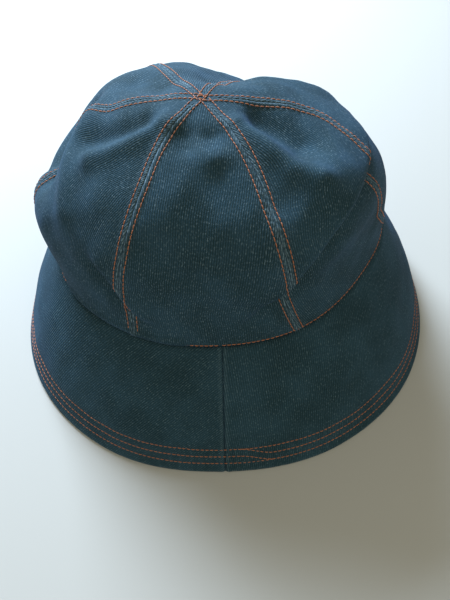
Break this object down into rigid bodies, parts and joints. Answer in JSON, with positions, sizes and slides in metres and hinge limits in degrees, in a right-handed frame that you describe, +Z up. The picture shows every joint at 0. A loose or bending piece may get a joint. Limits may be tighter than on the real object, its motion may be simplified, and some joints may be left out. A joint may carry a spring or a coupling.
{
  "type": "denim hat",
  "caption": "Soft denim hat with a slumped panelled crown, topstitched seams and an all-round two-layer brim that slopes down to rest on its edge.",
  "frame": {"origin": "on the floor under the middle of the brim's outline", "axes": "+Z up through the crown, -Y towards the side seen in the picture, +X to that viewer's right"},
  "size_m": [0.2742, 0.2654, 0.1536],
  "materials": {
    "crown_denim": "matte right-hand twill, dark indigo with pale flecks",
    "brim_denim": "matte right-hand twill, dark indigo",
    "stitch_thread": "matte copper-orange sewing thread"
  },
  "bodies": {
    "root": {"crown_panel_front": "crown_denim", "crown_panel_front_right": "crown_denim", "crown_panel_back_right": "crown_denim", "crown_panel_back": "crown_denim", "crown_panel_back_left": "crown_denim", "crown_panel_front_left": "crown_denim", "brim_top_right": "brim_denim", "brim_top_left": "brim_denim", "brim_under_right": "brim_denim", "brim_under_left": "brim_denim"}
  },
  "joints": []
}
